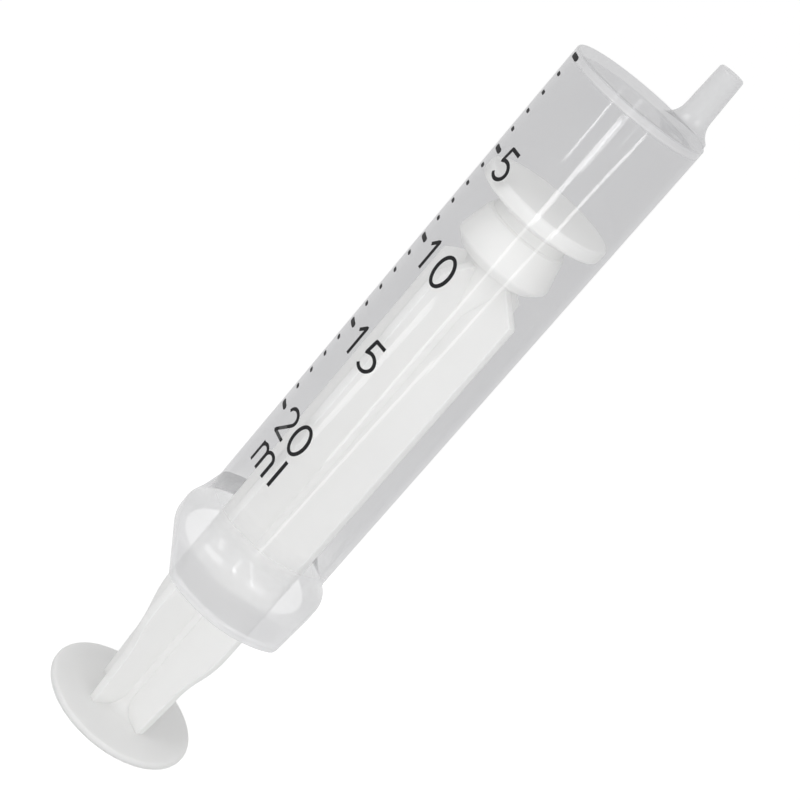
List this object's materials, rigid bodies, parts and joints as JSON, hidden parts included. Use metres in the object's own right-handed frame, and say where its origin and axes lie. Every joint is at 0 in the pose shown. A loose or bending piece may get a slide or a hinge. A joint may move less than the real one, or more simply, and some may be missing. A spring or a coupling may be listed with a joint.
{
  "type": "luer slip syringe",
  "caption": "Disposable syringe of two mouldings: a clear graduated barrel with a finger flange and an off-centre slip nozzle, and a finned plunger whose rim seals in the bore.",
  "frame": {"origin": "centre of the underside of the thumb disc, on the axis of the barrel", "axes": "+Z along the barrel towards the nozzle, +X from the axis towards the off-centre nozzle, Y along the finger flange's long way"},
  "size_m": [0.0251, 0.0438, 0.1312],
  "materials": {
    "barrel_plastic": "moulded translucent polypropylene, glossy outside",
    "plunger_plastic": "moulded milky polyethylene, satin",
    "scale_print": "black scale ink printed on the barrel"
  },
  "bodies": {
    "plunger": {"plunger": "plunger_plastic"},
    "barrel": {"barrel": "barrel_plastic"}
  },
  "joints": [
    {"name": "plunger_slide", "type": "slide", "parent": "plunger", "child": "barrel", "axis": [0, 0, -1], "range_m": [-0.06, 0.017]}
  ]
}
